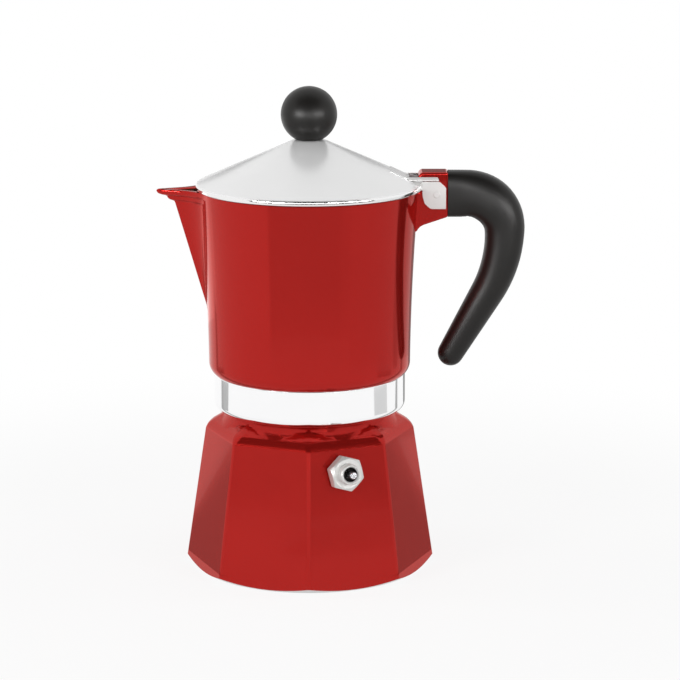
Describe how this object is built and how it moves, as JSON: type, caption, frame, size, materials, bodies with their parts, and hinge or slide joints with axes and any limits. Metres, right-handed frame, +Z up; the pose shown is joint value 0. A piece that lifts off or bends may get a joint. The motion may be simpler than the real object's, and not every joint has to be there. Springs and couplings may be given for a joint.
{
  "type": "moka pot",
  "caption": "Stove-top coffee maker: eight-sided boiler with valve, screw-on round jug with spout and hook handle, hinged cone lid with ball knob.",
  "frame": {"origin": "centre of the boiler's flat underside, on the pot's axis", "axes": "+Z up along the pot's axis, handle to +X, spout to -X, +Y to the left of the handle seen from the spout"},
  "size_m": [0.1207, 0.0826, 0.16],
  "materials": {
    "red_paint": "gloss enamel over cast aluminium",
    "satin_aluminium": "satin spun",
    "polished_aluminium": "polished",
    "sheet_aluminium": "drawn sheet",
    "black_plastic": "moulded, soft sheen",
    "plated_brass": "nickel plated, dull",
    "brass": "turned",
    "steel": "bright",
    "fibre": "pressed fibre seal",
    "gasket_rubber": "matt white rubber"
  },
  "bodies": {
    "boiler": {"boiler": "red_paint", "valve_body": "plated_brass", "valve_washer": "fibre", "valve_retainer": "steel", "valve_spring": "steel"},
    "valve_plunger": {"valve_plunger": "steel"},
    "funnel": {"funnel": "sheet_aluminium", "basket_screen": "sheet_aluminium"},
    "seal": {"gasket": "gasket_rubber", "filter_plate": "sheet_aluminium"},
    "collector": {"collector": "red_paint", "collar_band": "polished_aluminium", "hinge_pin": "steel", "handle": "black_plastic", "handle_screw": "steel"},
    "lid": {"lid": "satin_aluminium", "knob": "black_plastic", "knob_insert": "brass", "knob_washer": "steel", "knob_screw": "steel"}
  },
  "joints": [
    {"name": "valve_release", "type": "slide", "parent": "boiler", "child": "valve_plunger", "axis": [0.3791, -0.9151, 0.1373], "range_m": [0, 0.0012], "stiffness_N_per_m": 800, "springref_m": -0.002, "deforming": ["valve_spring"]},
    {"name": "funnel_lift", "type": "slide", "parent": "boiler", "child": "funnel", "axis": [0, 0, 1], "range_m": [0, 0.062]},
    {"name": "collector_rise", "type": "slide", "parent": "funnel", "child": "seal", "axis": [0, 0, 1], "range_m": [0, 0.0105]},
    {"name": "collector_turn", "type": "hinge", "parent": "seal", "child": "collector", "pos_m": [0, 0, 0.06], "axis": [0, 0, 1], "range_deg": [0, 1080]},
    {"name": "lid_hinge", "type": "hinge", "parent": "collector", "child": "lid", "pos_m": [0.0416, 0, 0.1252], "axis": [0, 1, 0], "range_deg": [0, 95]}
  ],
  "couplings": [
    {"joint": "collector_rise", "follows": "collector_turn", "m_per_rad": 0.00055704}
  ]
}
